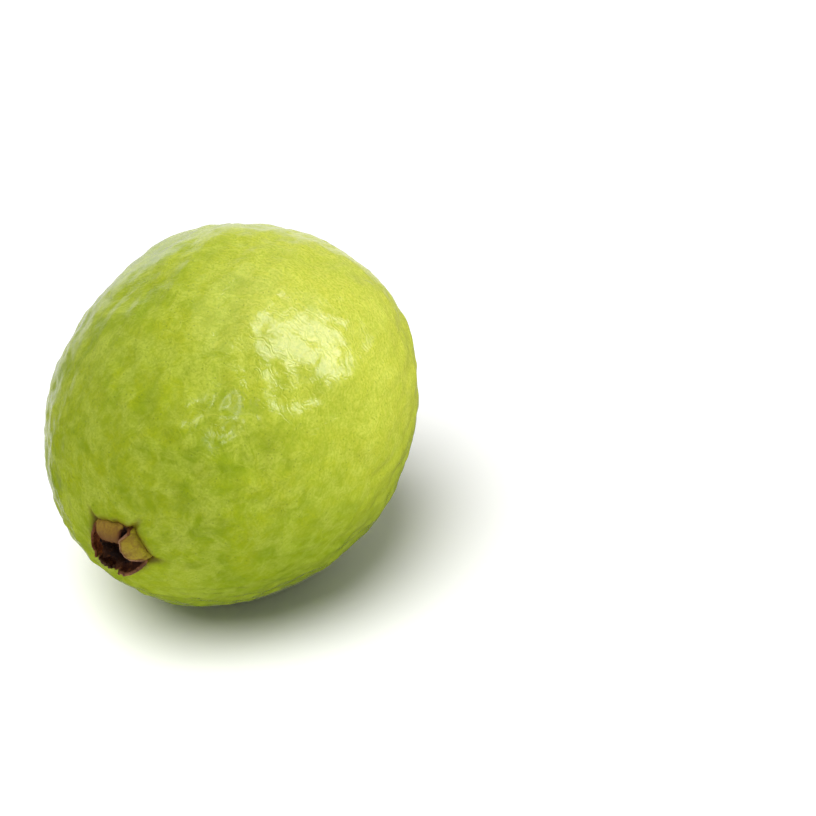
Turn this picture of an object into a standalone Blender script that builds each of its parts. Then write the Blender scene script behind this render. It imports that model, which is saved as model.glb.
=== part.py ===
"""A ripe guava, as picked, lying on its side.

The fruit is modelled along its own axis: +Z runs from the stem end to the calyx end, and the
angle round the axis starts at the fruit's right flank and passes over its upper side. The empty
"guava" then lays it down: the calyx end points along -Y and dips a little, as a fruit that tapers
towards its calyx does by itself, and the world's origin is the centre of the small flat spot that
the fruit rests on. All lengths are in metres.

Pieces: the fruit itself, which grew as one solid, the stub of its stem, and the dried remains of
the flower at the other end: a calyx cup with five sepals round it and the style in its middle.
"""

import math
from collections import namedtuple

import bmesh
import bpy
from mathutils import Matrix, Vector

# The fruit
FRUIT_LENGTH = 0.0975  # along the axis, before the hollows at its two ends
FRUIT_RADIUS = 0.0417
TAPER = -0.029  # share of the radius that moves from the calyx half to the stem half
END_FULLNESS = -0.022  # share of the radius lost towards both ends
RINGS = 38
SECTORS = 60
RING_CROWDING = 0.22  # draws the rings towards the two ends, where the hollows need them

# How it lies
REST_DIP = math.radians(7)  # the calyx end points this far below the horizontal
FLAT_DEPTH = 0.0006  # the skin is pressed flat this deep where it rests

# Pieces that touch keep this gap
CLEARANCE = 0.0003

# A hollow at one end of the fruit: its depth on the axis, how wide it is, how steep its sides are
# (2 is a soft funnel, 6 a flat floor), and the folds of skin round it.
Hollow = namedtuple("Hollow", "depth width steepness folds fold_height fold_radius fold_spread")
CALYX_BASIN = Hollow(0.0032, 0.0090, 6, 7, 0.00035, 0.0120, 0.0040)
STEM_CAVITY = Hollow(0.0050, 0.0085, 2, 5, 0.00070, 0.0090, 0.0050)

# Broad swellings and flats of a fruit that grew unevenly: degrees towards the calyx from the
# middle, degrees round the axis, height (negative for a flat) and spread in degrees.
Swelling = namedtuple("Swelling", "latitude longitude height spread")
SEAT_RADIUS = 0.0120  # the swellings fade out this near the axis, where the stem and the calyx sit
SWELLINGS = (
    Swelling(-42, 40, 0.0024, 30),
    Swelling(-30, 112, 0.0019, 32),
    Swelling(-36, -150, 0.0012, 34),
    Swelling(12, 62, 0.0005, 30),
    Swelling(24, -58, -0.0004, 28),
    Swelling(4, 148, -0.0007, 20),
    Swelling(-20, 132, 0.0004, 16),
    Swelling(20, 172, -0.0005, 16),
    Swelling(40, -165, -0.0004, 16),
    Swelling(45, -119, -0.0009, 16),
    Swelling(36, -86, 0.0004, 16),
)

# Stem stub
STEM_RADIUS = 0.0026
STEM_FOOT_RADIUS = 0.0034
STEM_TOP_RADIUS = 0.0030
STEM_LENGTH = 0.0100

# Calyx cup: the dried ring of the flower that the sepals grow from
CUP_FOOT_RADIUS = 0.0058
CUP_RIM_RADIUS = 0.0072
CUP_HEIGHT = 0.0014
CUP_WALL = 0.0014
CUP_FLOOR = 0.0006
TURNED_STEPS = 36

# Style: the dried tip of the pistil in the middle of the cup
STYLE_RADIUS = 0.0006
STYLE_LENGTH = 0.0038
STYLE_LEAN = 0.0010

# Sepals: where each stands round the axis and half of what it covers there, both in degrees, its
# length, how far it closes over the cup towards its tip, and how far its tip bends over.
Sepal = namedtuple("Sepal", "around half_angle length closing bending")
SEPALS = (
    Sepal(101, 34, 0.0056, 0.0036, 0.20),
    Sepal(20, 33, 0.0062, 0.0042, 0.15),
    Sepal(-55, 38, 0.0046, 0.0012, 0.05),
    Sepal(-117, 19, 0.0036, 0.0010, 0.05),
    Sepal(179, 39, 0.0044, 0.0014, 0.05),
)
SEPAL_RING_RADIUS = 0.0066
SEPAL_THICKNESS = 0.0009
SEPAL_TIP_SHARE = 0.35  # how wide the tip still is, as a share of the base
SEPAL_CELLS = 8

# Finishes: name, colour, roughness
SKIN = ("guava_skin", (0.33, 0.44, 0.035), 0.38)
WOOD = ("green_wood", (0.13, 0.17, 0.020), 0.62)
DRY_CUP = ("dried_calyx_cup", (0.045, 0.018, 0.009), 0.75)
DRY_SEPAL = ("dried_sepal", (0.20, 0.13, 0.035), 0.65)
DRY_STYLE = ("dried_style", (0.060, 0.028, 0.012), 0.75)


def clear_scene():
    """Removes every object of the startup scene."""
    for thing in list(bpy.data.objects):
        bpy.data.objects.remove(thing, do_unlink=True)


def make_material(finish):
    """A Principled material of one colour and roughness."""
    name, colour, roughness = finish
    material = bpy.data.materials.new(name)
    material.use_nodes = True
    shader = material.node_tree.nodes["Principled BSDF"]
    shader.inputs["Base Color"].default_value = (*colour, 1.0)
    shader.inputs["Roughness"].default_value = roughness
    shader.inputs["Metallic"].default_value = 0.0
    return material


def make_piece(name, mesh, finish, collection, axis):
    """A named object of this mesh, on the fruit's axis."""
    piece = bpy.data.objects.new(name, mesh)
    collection.objects.link(piece)
    piece.parent = axis
    mesh.materials.append(make_material(finish))
    return piece


def hollow_depth(hollow, radius):
    """How far a hollow lowers the skin at this distance from the axis."""
    return hollow.depth * math.exp(-((radius / hollow.width) ** hollow.steepness))


def fold_lift(hollow, radius, around):
    """How far the folds round a hollow lift the skin."""
    ring = math.exp(-(((radius - hollow.fold_radius) / hollow.fold_spread) ** 2))
    return hollow.fold_height * ring * math.cos(hollow.folds * around)


def seat_height(hollow, radius):
    """Distance of a hollow's floor from the fruit's middle, along the axis, near one end."""
    end = 1 if hollow is CALYX_BASIN else -1
    share = radius / (FRUIT_RADIUS * (1 + TAPER * end + END_FULLNESS))
    return FRUIT_LENGTH / 2 * math.sqrt(1 - share**2) - hollow_depth(hollow, radius)


def axis_direction(latitude, longitude):
    """Unit vector for a latitude towards the calyx and a longitude round the axis, in degrees."""
    up, turn = math.radians(latitude), math.radians(longitude)
    return Vector((math.cos(up) * math.cos(turn), math.cos(up) * math.sin(turn), math.sin(up)))


def skin_point(direction):
    """Point of the skin in a direction: a tapered ellipsoid, a hollow at each end, the swellings."""
    around = math.atan2(direction.y, direction.x)
    polar = math.acos(max(-1.0, min(1.0, direction.z)))
    polar -= RING_CROWDING * math.sin(2 * polar)
    along = math.cos(polar)
    radius = FRUIT_RADIUS * math.sin(polar) * (1 + TAPER * along + END_FULLNESS * along**2)
    end, hollow = (1, CALYX_BASIN) if along > 0 else (-1, STEM_CAVITY)
    lift = fold_lift(hollow, radius, around) - hollow_depth(hollow, radius)
    height = FRUIT_LENGTH / 2 * along + end * lift
    outward = Vector((math.sin(polar) * math.cos(around), math.sin(polar) * math.sin(around), along))
    swell = 0.0
    for swelling in SWELLINGS:
        angle = outward.angle(axis_direction(swelling.latitude, swelling.longitude))
        swell += swelling.height * math.exp(-((angle / math.radians(swelling.spread)) ** 2))
    swell *= 1 - math.exp(-((radius / SEAT_RADIUS) ** 4))
    return Vector((radius * math.cos(around), radius * math.sin(around), height)) + outward * swell


def press_flat(shape):
    """Cuts the flat spot that the fruit rests on and returns its centre."""
    down = Vector((0.0, -math.cos(REST_DIP), math.sin(REST_DIP)))
    lowest = max(vertex.co.dot(down) for vertex in shape.verts)
    everything = shape.verts[:] + shape.edges[:] + shape.faces[:]
    cut = bmesh.ops.bisect_plane(
        shape, geom=everything, plane_co=down * (lowest - FLAT_DEPTH), plane_no=down, clear_outer=True
    )
    outline = [part for part in cut["geom_cut"] if isinstance(part, bmesh.types.BMEdge)]
    flat = bmesh.ops.contextual_create(shape, geom=outline)["faces"][0]
    return flat.calc_center_median_weighted()


def build_fruit(collection, axis):
    """The fruit: a sphere whose every point is moved to the skin. Returns the flat spot's centre."""
    shape = bmesh.new()
    bmesh.ops.create_uvsphere(shape, u_segments=SECTORS, v_segments=RINGS, radius=1.0)
    for vertex in shape.verts:
        vertex.co = skin_point(vertex.co.normalized())
    flat_centre = press_flat(shape)
    bmesh.ops.recalc_face_normals(shape, faces=shape.faces)
    mesh = bpy.data.meshes.new("fruit_body")
    shape.to_mesh(mesh)
    shape.free()
    mesh.shade_smooth()
    mesh.set_sharp_from_angle(angle=math.radians(30))
    make_piece("fruit_body", mesh, SKIN, collection, axis)
    return flat_centre


def turned_piece(name, outline, finish, collection, axis):
    """A piece turned round the axis.

    The outline's points are (radius, height). They run from the highest point on the axis, down the
    outer side, to the lowest point on the axis.
    """
    mesh = bpy.data.meshes.new(name)
    points = [(radius, 0.0, height) for radius, height in outline]
    edges = [(i, i + 1) for i in range(len(points) - 1)]
    mesh.from_pydata(points, edges, [])
    piece = make_piece(name, mesh, finish, collection, axis)
    screw = piece.modifiers.new("turn", "SCREW")
    screw.steps = TURNED_STEPS
    screw.render_steps = TURNED_STEPS
    screw.use_merge_vertices = True
    screw.merge_threshold = 0.00001
    screw.use_smooth_shade = True
    return piece


def arc(centre, radius, start, end, steps):
    """Points on an arc, as (radius, height), between two angles in degrees."""
    turns = [math.radians(start + (end - start) * i / steps) for i in range(steps + 1)]
    return [(centre[0] + radius * math.cos(turn), centre[1] + radius * math.sin(turn)) for turn in turns]


def build_stem(collection, axis):
    """The stem stub: a foot that follows the cavity's floor, a waist, and a cut end a little wider."""
    floor = -seat_height(STEM_CAVITY, 0.0) - CLEARANCE
    cut = floor - STEM_LENGTH
    edge = 0.0005
    foot = []
    for share in (1.0, 0.75, 0.5, 0.25, 0.0):
        radius = STEM_FOOT_RADIUS * share
        foot.append((radius, -seat_height(STEM_CAVITY, radius) - CLEARANCE))
    foot_height = foot[0][1]
    shaft = []
    for share in (0.15, 0.3, 0.5, 0.7, 0.85):
        waist = 4 * share * (1 - share)
        ends = STEM_FOOT_RADIUS + (STEM_TOP_RADIUS - STEM_FOOT_RADIUS) * share
        radius = ends + (STEM_RADIUS - ends) * min(1.0, 1.3 * waist)
        shaft.append((radius, foot_height + (cut + edge - foot_height) * share))
    rim = arc((STEM_TOP_RADIUS - edge, cut + edge), edge, 0, -90, 3)
    outline = foot[::-1] + shaft + rim + [(0.0, cut)]
    turned_piece("stem_stub", outline, WOOD, collection, axis)


def build_cup(collection, axis):
    """The calyx cup: a shallow dish in the basin. Returns the height of its floor and of its rim."""
    underside = seat_height(CALYX_BASIN, 0.0) + CLEARANCE
    floor = underside + CUP_FLOOR
    rim = underside + CUP_HEIGHT
    inner = CUP_RIM_RADIUS - CUP_WALL
    rounding = CUP_WALL / 2
    outline = [(0.0, floor), (inner - 0.0010, floor), (inner - 0.0002, floor + 0.0004)]
    outline += arc((inner + rounding, rim - rounding), rounding, 180, 0, 6)
    outline += [(CUP_FOOT_RADIUS + 0.0004, underside + 0.0003), (CUP_FOOT_RADIUS, underside)]
    outline += [(0.0, underside)]
    turned_piece("calyx_cup", outline, DRY_CUP, collection, axis)
    return floor, rim


def build_style(floor, collection, axis):
    """The dried style: a thin leaning stalk with a rounded tip, on the cup's floor."""
    curve = bpy.data.curves.new("style_remnant", "CURVE")
    curve.dimensions = "3D"
    curve.bevel_depth = STYLE_RADIUS
    curve.bevel_resolution = 2
    curve.use_fill_caps = True
    spline = curve.splines.new("POLY")
    steps = 5
    spline.points.add(steps)
    for i, point in enumerate(spline.points):
        share = i / steps
        height = floor + CLEARANCE + STYLE_LENGTH * share
        point.co = (STYLE_LEAN * share**2, -STYLE_LEAN * share, height, 1.0)
        point.radius = 1.3 - 0.6 * share
    make_piece("style_remnant", curve, DRY_STYLE, collection, axis)


def sepal_point(sepal, across, along, base):
    """Point of a sepal's middle surface: across is -1 to 1, along is 0 at the base to 1 at the tip."""
    width = math.sqrt(1 - (1 - SEPAL_TIP_SHARE**2) * along**4)
    turn = math.radians(sepal.around + sepal.half_angle * across * width)
    radius = SEPAL_RING_RADIUS - sepal.closing * along**1.6
    rise = sepal.length * along * (1 - sepal.bending * along**2)
    droop = 0.10 * sepal.length * along * across**2
    return Vector((radius * math.cos(turn), radius * math.sin(turn), base + rise - droop))


def build_sepal(number, sepal, rim, collection, axis):
    """One sepal: a flat grid bent round the cup and closed over it, then given its thickness."""
    shape = bmesh.new()
    bmesh.ops.create_grid(shape, x_segments=SEPAL_CELLS, y_segments=SEPAL_CELLS, size=1.0)
    for vertex in shape.verts:
        vertex.co = sepal_point(sepal, vertex.co.x, (vertex.co.y + 1) / 2, rim + CLEARANCE)
    bmesh.ops.recalc_face_normals(shape, faces=shape.faces)
    mesh = bpy.data.meshes.new(f"sepal_{number}")
    shape.to_mesh(mesh)
    shape.free()
    mesh.shade_smooth()
    piece = make_piece(f"sepal_{number}", mesh, DRY_SEPAL, collection, axis)
    wall = piece.modifiers.new("wall", "SOLIDIFY")
    wall.thickness = SEPAL_THICKNESS
    wall.offset = 0.0


def lay_down(axis, flat_centre):
    """Lays the upright fruit down, calyx end forwards, with its flat spot at the origin."""
    turn = Matrix.Rotation(math.radians(90) + REST_DIP, 4, "X")
    axis.matrix_world = Matrix.Translation(-(turn @ flat_centre)) @ turn


def main():
    """Builds the guava."""
    clear_scene()
    collection = bpy.data.collections.new("guava")
    bpy.context.scene.collection.children.link(collection)
    axis = bpy.data.objects.new("guava", None)
    collection.objects.link(axis)
    flat_centre = build_fruit(collection, axis)
    build_stem(collection, axis)
    floor, rim = build_cup(collection, axis)
    build_style(floor, collection, axis)
    for number, sepal in enumerate(SEPALS, start=1):
        build_sepal(number, sepal, rim, collection, axis)
    lay_down(axis, flat_centre)


main()
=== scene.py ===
"""The looks of a ripe guava that lies on its side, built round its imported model.

The fruit's pieces are surfaces worked out in the fruit's own frame: +Z runs from the stem end to the
calyx end, and longitude 90 degrees is the upper side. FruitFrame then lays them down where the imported
model lies. Lengths are in metres, and the angles in the dataclasses' fields are in degrees.
"""

import logging
import math
from dataclasses import dataclass
from enum import Enum

import bpy
import numpy as np
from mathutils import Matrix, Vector


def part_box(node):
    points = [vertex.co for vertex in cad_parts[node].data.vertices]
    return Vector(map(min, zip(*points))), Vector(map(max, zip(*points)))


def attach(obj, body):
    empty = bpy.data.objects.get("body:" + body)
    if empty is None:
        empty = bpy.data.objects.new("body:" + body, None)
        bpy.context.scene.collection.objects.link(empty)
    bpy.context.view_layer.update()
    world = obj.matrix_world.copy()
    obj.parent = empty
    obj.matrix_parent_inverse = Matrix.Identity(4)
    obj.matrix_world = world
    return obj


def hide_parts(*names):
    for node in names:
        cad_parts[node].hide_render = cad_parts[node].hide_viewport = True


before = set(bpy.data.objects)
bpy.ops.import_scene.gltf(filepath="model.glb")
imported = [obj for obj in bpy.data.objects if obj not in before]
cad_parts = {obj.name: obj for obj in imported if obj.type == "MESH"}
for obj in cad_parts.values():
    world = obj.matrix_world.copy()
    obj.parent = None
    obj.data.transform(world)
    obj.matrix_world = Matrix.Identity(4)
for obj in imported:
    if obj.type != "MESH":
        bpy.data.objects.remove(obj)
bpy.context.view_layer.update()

log = logging.getLogger("guava")
MM = 0.001
FULL_TURN = 2.0 * math.pi
TIP_PALENESS = 0.6
BODY = "root"

Colour = tuple[float, float, float]
Socket = bpy.types.NodeSocket
Number = Socket | float


class Reach(Enum):
    """What a light shines on."""

    FRUIT = "lit_fruit"
    FLOOR = "lit_floor"


# ---------------------------------------------------------------- numbers over surfaces


def ripples(points: np.ndarray, wavelength: float, octaves: float, waves: int, seed: int) -> np.ndarray:
    """Smooth random relief with a spread of about 1: a sum of plane waves in random directions.

    Args:
        points: places where the relief is wanted, shape (..., 3).
        wavelength: middle wavelength of the waves.
        octaves: how far the wavelengths reach above and below the middle one.
        waves: number of waves.
        seed: number that fixes their directions and phases.

    Returns:
        The relief at each point, shape (...).
    """
    chance = np.random.default_rng(seed)
    directions = chance.normal(size=(waves, 3))
    directions /= np.linalg.norm(directions, axis=1, keepdims=True)
    lengths = wavelength * 2.0 ** chance.uniform(-octaves, octaves, waves)
    phases = chance.uniform(0.0, FULL_TURN, waves)
    turns = points @ (directions * (FULL_TURN / lengths)[:, None]).T + phases
    return np.cos(turns).sum(axis=-1) * math.sqrt(2.0 / waves)


def bell(distance: np.ndarray, width: np.ndarray | float) -> np.ndarray:
    """A bump of height 1 that fades with the distance: e to the minus (distance / width) squared."""
    return np.exp(-((distance / width) ** 2))


def ease(value: np.ndarray, low: float, high: float) -> np.ndarray:
    """A smooth step: 0 below low, 1 above high, and 3t squared - 2t cubed between them."""
    share = np.clip((value - low) / (high - low), 0.0, 1.0)
    return share * share * (3.0 - 2.0 * share)


def full_circle(count: int) -> np.ndarray:
    """Even angles all round the axis, as one row."""
    return np.linspace(0.0, FULL_TURN, count, endpoint=False)[None, :]


def around_axis(
    radius: np.ndarray | float, around: np.ndarray | float, height: np.ndarray | float
) -> np.ndarray:
    """Points at a distance from the axis, an angle round it and a height along it."""
    return np.stack(np.broadcast_arrays(radius * np.cos(around), radius * np.sin(around), height), axis=-1)


def direction_of(azimuth: float, elevation: float) -> Vector:
    """Unit vector towards a place seen from the fruit, azimuth 0 in front of the calyx end, in degrees."""
    turn, up = math.radians(azimuth), math.radians(elevation)
    return Vector((math.sin(turn) * math.cos(up), -math.cos(turn) * math.cos(up), math.sin(up)))


def smooth_profile(corners: tuple[tuple[float, float], ...], count: int) -> np.ndarray:
    """A Catmull-Rom curve: its slope at a point is that of the line between the point's neighbours.

    Args:
        corners: the points that the curve passes through.
        count: number of points wanted on it.

    Returns:
        The curve's points, shape (count, 2).
    """
    knots = np.array([corners[0], *corners, corners[-1]], dtype=float)
    # It ends just short of the last corner, so that every point lies between two corners.
    place = np.linspace(0.0, len(corners) - 1.000001, count)
    step = place.astype(int)
    t = (place - step)[:, None]
    before, start, end, after = (knots[step + i] for i in range(4))
    return 0.5 * (
        2.0 * start
        + (end - before) * t
        + (2.0 * before - 5.0 * start + 4.0 * end - after) * t**2
        + (3.0 * start - before - 3.0 * end + after) * t**3
    )


def surface_normals(grid: np.ndarray) -> np.ndarray:
    """Unit normals of a grid surface: the cross product of its two tangents."""
    normals = np.cross(np.gradient(grid, axis=1), np.gradient(grid, axis=0))
    return normals / np.maximum(np.linalg.norm(normals, axis=-1, keepdims=True), 1e-12)


# ---------------------------------------------------------------- meshes from grids


@dataclass
class Shape:
    """A mesh as arrays: vertices, faces, and a value per vertex for each named attribute."""

    vertices: np.ndarray
    faces: list[tuple[int, ...]]
    values: dict[str, np.ndarray]


def closed_round(grid: np.ndarray, values: dict[str, np.ndarray]) -> Shape:
    """Closes a grid of rings: each row joins up, and the first and the last row are one point each.

    Args:
        grid: points, shape (rows, columns, 3). The rows run down the axis and the columns turn left.
        values: for each attribute's name, a value for each grid point or an array that spreads to it.

    Returns:
        The closed shape, with its faces outward.
    """
    rows, columns = grid.shape[:2]
    index = 1 + np.arange((rows - 2) * columns).reshape(rows - 2, columns)
    beside = np.roll(index, -1, axis=1)
    quads = np.stack([index[:-1], index[1:], beside[1:], beside[:-1]], axis=-1).reshape(-1, 4)
    last = 1 + index[-1, -1]
    top = np.stack([np.zeros(columns, int), index[0], beside[0]], axis=-1)
    bottom = np.stack([np.full(columns, last), beside[-1], index[-1]], axis=-1)

    def in_order(sheet: np.ndarray) -> np.ndarray:
        """What a grid holds at the first point, at the rings between, and at the last point."""
        return np.concatenate([sheet[0, :1], sheet[1:-1].reshape(-1, *sheet.shape[2:]), sheet[-1, :1]])

    flat = {name: in_order(np.broadcast_to(value, (rows, columns))) for name, value in values.items()}
    return Shape(in_order(grid), [*quads.tolist(), *top.tolist(), *bottom.tolist()], flat)


def closed_shell(middle: np.ndarray, thickness: np.ndarray, values: dict[str, np.ndarray]) -> Shape:
    """Gives a grid surface its wall: two sides half the thickness off it, and a strip that joins them.

    Args:
        middle: points of the middle surface, shape (rows, columns, 3).
        thickness: wall thickness at each point, shape (rows, columns).
        values: a value for each grid point under each attribute's name, the same on both sides.

    Returns:
        The closed shape. Its attribute "inner" is 1 on the side that the normals point away from.
    """
    rows, columns = middle.shape[:2]
    offset = surface_normals(middle) * thickness[..., None] / 2.0
    count = rows * columns
    front = np.arange(count).reshape(rows, columns)
    vertices = np.concatenate([(middle + offset).reshape(-1, 3), (middle - offset).reshape(-1, 3)])
    corners = [front[:-1, :-1], front[:-1, 1:], front[1:, 1:], front[1:, :-1]]
    quads = np.stack(corners, axis=-1).reshape(-1, 4)
    rim = np.concatenate([front[0, :-1], front[:-1, -1], front[-1, :0:-1], front[:0:-1, 0]])
    ahead = np.roll(rim, -1)
    strip = np.stack([ahead, rim, rim + count, ahead + count], axis=-1)
    both = {name: np.tile(value.ravel(), 2) for name, value in values.items()}
    both["inner"] = np.repeat([0.0, 1.0], count)
    return Shape(vertices, np.concatenate([quads, quads[:, ::-1] + count, strip]).tolist(), both)


def swept_threads(paths: np.ndarray, radii: np.ndarray, sides: int) -> Shape:
    """Thin threads: a ring of points round each path point, square to the path, closed at both ends.

    Args:
        paths: points of each thread's middle line, shape (threads, steps, 3).
        radii: the thread's radius at each point, shape (threads, steps).
        sides: number of points in a ring.

    Returns:
        All the threads as one shape, whose value "pale" grows evenly from 0 at the root to the tip.
    """
    threads, steps = paths.shape[:2]
    tangents = np.gradient(paths, axis=1)
    tangents /= np.linalg.norm(tangents, axis=-1, keepdims=True)
    aside = np.cross(tangents, np.array([0.3, 0.5, 0.81]))
    aside /= np.linalg.norm(aside, axis=-1, keepdims=True)
    other = np.cross(tangents, aside)
    turn = full_circle(sides)[0]
    ring = aside[:, :, None] * np.cos(turn)[:, None] + other[:, :, None] * np.sin(turn)[:, None]
    points = paths[:, :, None] + ring * radii[:, :, None, None]
    index = np.arange(threads * steps * sides).reshape(threads, steps, sides)
    beside = np.roll(index, -1, axis=2)
    walls = np.stack([index[:, :-1], beside[:, :-1], beside[:, 1:], index[:, 1:]], axis=-1).reshape(-1, 4)
    caps = [*index[:, 0, ::-1].tolist(), *index[:, -1].tolist()]
    pale = np.broadcast_to(TIP_PALENESS * np.linspace(0.0, 1.0, steps)[None, :, None], index.shape)
    return Shape(points.reshape(-1, 3), [*walls.tolist(), *caps], {"pale": pale.ravel()})


# ---------------------------------------------------------------- the fruit's form and how it lies


@dataclass(frozen=True)
class FruitFrame:
    """How the fruit's own frame lies in the world: its axis is laid down, dips, and is then moved."""

    dip: float
    place: tuple[float, float, float] = (0.0, 0.0, 0.0)

    @property
    def turn(self) -> float:
        """The turn about the world's X that lays the axis down, in radians."""
        return math.radians(90.0) + math.radians(self.dip)

    def lay(self, points: np.ndarray) -> np.ndarray:
        """Moves points, shape (..., 3), from the fruit's frame to the world: a turn about X and a shift."""
        cos, sin = math.cos(self.turn), math.sin(self.turn)
        return points @ np.array([[1.0, 0.0, 0.0], [0.0, cos, sin], [0.0, -sin, cos]]) + np.array(self.place)


@dataclass(frozen=True)
class Hollow:
    """A hollow at one end of the fruit and the folds of skin round it."""

    depth: float
    width: float
    steepness: float
    folds: int
    fold_height: float
    fold_radius: float
    fold_spread: float

    def lower(self, radius: np.ndarray, around: np.ndarray) -> np.ndarray:
        """How far it lowers the skin, less how far its folds lift it.

        The hollow is its depth times e to the minus (radius / width) to a power. The folds are a ring of
        waves that fades inwards and outwards.

        Args:
            radius: distance from the axis.
            around: angle round the axis, in radians.

        Returns:
            The depth at each place.
        """
        hollow = self.depth * np.exp(-((radius / self.width) ** self.steepness))
        fade = bell(radius - self.fold_radius, self.fold_spread)
        return hollow - self.fold_height * fade * np.cos(self.folds * around)


@dataclass(frozen=True)
class Swelling:
    """A broad swelling of the fruit, or a flat where its height is negative."""

    latitude: float
    longitude: float
    height: float
    spread: float

    def lift(self, outward: np.ndarray) -> np.ndarray:
        """How far it lifts the skin: its height, fading with the angle from its middle.

        Args:
            outward: unit direction from the fruit's middle to each place.

        Returns:
            The lift at each place.
        """
        up, around = math.radians(self.latitude), math.radians(self.longitude)
        angle = np.arccos(np.clip(outward @ around_axis(math.cos(up), around, math.sin(up)), -1.0, 1.0))
        return self.height * bell(angle, math.radians(self.spread))


@dataclass(frozen=True)
class Lumps:
    """Random lumps all over the skin. Where their stretch is below 1, they are ridges along the fruit."""

    size: float
    height: float
    waves: int
    seed: int
    stretch: float = 1.0

    def lift(self, points: np.ndarray) -> np.ndarray:
        """How far they lift the skin: ripples of this size."""
        grown = points * np.array([1.0, 1.0, self.stretch])
        return self.height * ripples(grown, self.size, 0.5, self.waves, self.seed)


@dataclass(frozen=True)
class CalyxRing:
    """The ring that the sepals stand on: nearly straight sides between the corners where two sepals meet.

    Each corner is its angle round the axis and its distance from the axis.
    """

    corners: tuple[tuple[float, float], ...] = (
        (-136.0, 7.6 * MM),
        (-97.0, 7.4 * MM),
        (-12.0, 7.7 * MM),
        (53.0, 6.9 * MM),
        (134.0, 7.0 * MM),
    )
    straightness: float = 0.70

    def radius(self, around: np.ndarray) -> np.ndarray:
        """The ring's radius, between that of a round bow and that of the straight line from corner to corner.

        In polar form the line through two corners, at angles p and q and distances a and b, is
        a b sin(q - p) / (a sin(t - p) + b sin(q - t)).

        Args:
            around: angle round the axis, in radians.

        Returns:
            The radius at each angle.
        """
        starts = np.radians([angle for angle, _ in self.corners])
        ends = np.append(starts[1:], starts[0] + FULL_TURN)
        reach = np.array([distance for _, distance in self.corners])
        turned = (around - starts[0]) % FULL_TURN + starts[0]
        side = np.clip(np.searchsorted(starts, turned, side="right") - 1, 0, len(starts) - 1)
        start, end, near, far = starts[side], ends[side], reach[side], np.roll(reach, -1)[side]
        line = near * far * np.sin(end - start) / (near * np.sin(turned - start) + far * np.sin(end - turned))
        bow = near + (far - near) * (turned - start) / (end - start)
        return bow + self.straightness * (line - bow)

    def nearness(self, around: np.ndarray, width: float) -> np.ndarray:
        """How near an angle is to a corner: a bump of height 1 and of this width, in degrees, at each."""
        turns = [(around - math.radians(angle) + math.pi) % FULL_TURN - math.pi for angle, _ in self.corners]
        return sum(bell(turn, math.radians(width)) for turn in turns)


@dataclass(frozen=True)
class FruitForm:
    """The skin's form as a formula of two angles."""

    length: float = 97.5 * MM
    girth: float = 41.7 * MM
    taper: float = -0.029
    fullness: float = -0.022
    seat: float = 12.0 * MM
    dip: float = 7.0
    brim_radius: float = 8.0 * MM
    stem_cavity: Hollow = Hollow(
        depth=5.0 * MM, width=8.5 * MM, steepness=2,
        folds=5, fold_height=0.70 * MM, fold_radius=9.0 * MM, fold_spread=5.0 * MM,
    )
    ring: CalyxRing = CalyxRing()
    swellings: tuple[Swelling, ...] = (
        Swelling(-42, 40, 2.4 * MM, 30),
        Swelling(-30, 112, 1.9 * MM, 32),
        Swelling(-36, -150, 1.2 * MM, 34),
        Swelling(12, 62, 0.5 * MM, 30),
        Swelling(24, -58, -0.4 * MM, 28),
        Swelling(4, 148, -0.7 * MM, 20),
        Swelling(-20, 132, 0.4 * MM, 16),
        Swelling(20, 172, -0.5 * MM, 16),
        Swelling(40, -165, -0.4 * MM, 16),
        Swelling(45, -119, -0.9 * MM, 16),
        Swelling(36, -86, 0.4 * MM, 16),
    )

    def plain(self, polar: np.ndarray, around: np.ndarray) -> tuple[np.ndarray, np.ndarray, np.ndarray]:
        """The skin with its swellings, before the hollows at its ends and the fine relief.

        Its radius is its girth times the sine of the polar angle, times its taper and its fullness.

        Args:
            polar: angle from the calyx end, in radians, as a column.
            around: angle round the axis, in radians, as a row.

        Returns:
            The points, the outward unit direction at each, and the distance of each from the axis.
        """
        along = np.cos(polar)
        radius = self.girth * np.sin(polar) * (1.0 + self.taper * along + self.fullness * along**2)
        outward = around_axis(np.sin(polar), around, along)
        swell = sum(swelling.lift(outward) for swelling in self.swellings)
        swell = swell * (1.0 - np.exp(-((radius / self.seat) ** 4)))
        points = around_axis(radius, around, self.length / 2.0 * along) + outward * swell[..., None]
        return points, outward, np.broadcast_to(radius, swell.shape)

    @property
    def brim(self) -> float:
        """Distance of the skin from the fruit's middle, along the axis, at the calyx ring."""
        share = self.brim_radius / (self.girth * (1.0 + self.taper + self.fullness))
        return self.length / 2.0 * math.sqrt(1.0 - share**2)

    def frame(self) -> FruitFrame:
        """Finds how the fruit lies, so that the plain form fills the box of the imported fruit.

        Returns:
            The fruit's frame. Its height comes from the box's top, because the box's floor is the flat spot.
        """
        polar = np.linspace(0.0, math.pi, 200)[:, None]
        laid = FruitFrame(self.dip).lay(self.plain(polar, full_circle(240))[0]).reshape(-1, 3)
        low, high = (np.array(corner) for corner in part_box("fruit_body"))
        middle = (low + high) / 2.0 - (laid.min(axis=0) + laid.max(axis=0)) / 2.0
        height = high[2] - laid[:, 2].max()
        return FruitFrame(self.dip, (float(middle[0]), float(middle[1]), float(height)))


# ---------------------------------------------------------------- node trees


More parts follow.
